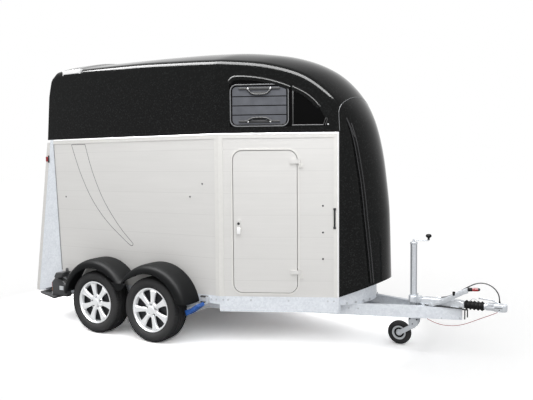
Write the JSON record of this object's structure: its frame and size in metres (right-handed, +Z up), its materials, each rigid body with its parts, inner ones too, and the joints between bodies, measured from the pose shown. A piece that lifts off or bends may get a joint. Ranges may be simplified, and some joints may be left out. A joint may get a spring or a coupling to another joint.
{
  "type": "horse trailer",
  "caption": "Braked twin-axle horse trailer with plank walls, a moulded hood and nose, rear ramp, side doors, jockey wheel and ball coupling.",
  "frame": {"origin": "on the ground, below the middle of the whole length and width", "axes": "+X forward towards the towing car, +Y to the trailer's left, +Z up"},
  "size_m": [4.753, 2.2, 2.8048],
  "materials": {
    "galvanised_steel": "hot-dip galvanised, soft spangle",
    "black_steel": "dark painted casting",
    "anodised_planks": "silver anodised, finely ribbed planks",
    "aluminium_trim": "bright anodised profile",
    "plywood_floor": "resin-faced plywood with rubber",
    "black_grp": "black metallic lacquer on glass-fibre",
    "grey_shutter": "grey moulded",
    "curtain_fabric": "coated cloth",
    "ramp_rubber": "ribbed rubber mat",
    "black_plastic": "grained black",
    "clear_lens": "clear lens on a white body",
    "blank_plate": "blank, pale",
    "alloy_rim": "silver lacquered alloy",
    "tyre_rubber": "black",
    "chock_blue": "blue moulded",
    "bellows_rubber": "folded black",
    "grip_rubber": "dark red and black",
    "zinc_steel": "zinc plated",
    "jockey_plastic": "grey moulded",
    "cable_sheath": "dark grey sheath",
    "breakaway_sheath": "red plastic over wire"
  },
  "bodies": {
    "root": {"axles": "galvanised_steel", "bellows": "bellows_rubber", "breakaway_cable": "breakaway_sheath", "bumper": "black_plastic", "cable_plug": "black_plastic", "chock_brackets": "galvanised_steel", "corner_posts": "aluminium_trim", "coupling_handle": "black_steel", "coupling_head": "black_steel", "cross_members": "galvanised_steel", "door_frames": "aluminium_trim", "electric_cable": "cable_sheath", "floor": "plywood_floor", "frame_rail_left": "galvanised_steel", "frame_rail_right": "galvanised_steel", "front_plate": "galvanised_steel", "front_walls": "anodised_planks", "handbrake_grip": "grip_rubber", "handbrake_lever": "black_steel", "hood": "black_grp", "jockey_clamp": "galvanised_steel", "jockey_crank": "zinc_steel", "jockey_post": "zinc_steel", "knuckles": "black_steel", "marker_lamps": "clear_lens", "mudguards": "black_plastic", "nose": "black_grp", "overrun_housing": "galvanised_steel", "plug_holder": "galvanised_steel", "rear_curtain": "curtain_fabric", "rear_frame": "galvanised_steel", "rear_lamps": "black_plastic", "rear_walls": "anodised_planks", "sills": "galvanised_steel", "top_rails": "aluminium_trim", "wheel_chocks": "chock_blue", "window_frames": "grey_shutter", "window_shutters": "grey_shutter"},
    "wheel_front_right": {"tyre_front_right": "tyre_rubber", "rim_front_right": "alloy_rim", "drum_front_right": "black_steel"},
    "wheel_front_left": {"tyre_front_left": "tyre_rubber", "rim_front_left": "alloy_rim", "drum_front_left": "black_steel"},
    "wheel_rear_right": {"tyre_rear_right": "tyre_rubber", "rim_rear_right": "alloy_rim", "drum_rear_right": "black_steel"},
    "wheel_rear_left": {"tyre_rear_left": "tyre_rubber", "rim_rear_left": "alloy_rim", "drum_rear_left": "black_steel"},
    "side_door_right": {"side_door_right": "anodised_planks"},
    "side_door_left": {"side_door_left": "anodised_planks"},
    "ramp": {"ramp": "anodised_planks", "ramp_mat": "ramp_rubber", "number_plate": "blank_plate"},
    "jockey_caster": {"jockey_fork": "zinc_steel"},
    "jockey_wheel": {"jockey_rim": "jockey_plastic", "jockey_tyre": "tyre_rubber"}
  },
  "joints": [
    {"name": "wheel_front_right_spin", "type": "hinge", "parent": "root", "child": "wheel_front_right", "pos_m": [-0.5945, -0.97, 0.3075], "axis": [0, 1, 0], "continuous": true},
    {"name": "wheel_front_left_spin", "type": "hinge", "parent": "root", "child": "wheel_front_left", "pos_m": [-0.5945, 0.97, 0.3075], "axis": [0, 1, 0], "continuous": true},
    {"name": "wheel_rear_right_spin", "type": "hinge", "parent": "root", "child": "wheel_rear_right", "pos_m": [-1.2945, -0.97, 0.3075], "axis": [0, 1, 0], "continuous": true},
    {"name": "wheel_rear_left_spin", "type": "hinge", "parent": "root", "child": "wheel_rear_left", "pos_m": [-1.2945, 0.97, 0.3075], "axis": [0, 1, 0], "continuous": true},
    {"name": "side_door_right_hinge", "type": "hinge", "parent": "root", "child": "side_door_right", "pos_m": [0.7171, -0.56411, 1.14], "axis": [0, 0, 1], "range_deg": [0, 165]},
    {"name": "side_door_left_hinge", "type": "hinge", "parent": "root", "child": "side_door_left", "pos_m": [0.7171, 0.56411, 1.14], "axis": [0, 0, -1], "range_deg": [0, 165]},
    {"name": "ramp_hinge", "type": "hinge", "parent": "root", "child": "ramp", "pos_m": [-2.3366, 0, 0.28217], "axis": [0, -1, 0], "range_deg": [0, 106]},
    {"name": "jockey_swivel", "type": "hinge", "parent": "root", "child": "jockey_caster", "pos_m": [1.5815, 0, 0.3], "axis": [0, 0, 1], "continuous": true},
    {"name": "jockey_roll", "type": "hinge", "parent": "jockey_caster", "child": "jockey_wheel", "pos_m": [1.4555, 0, 0.1075], "axis": [0, 1, 0], "continuous": true}
  ]
}
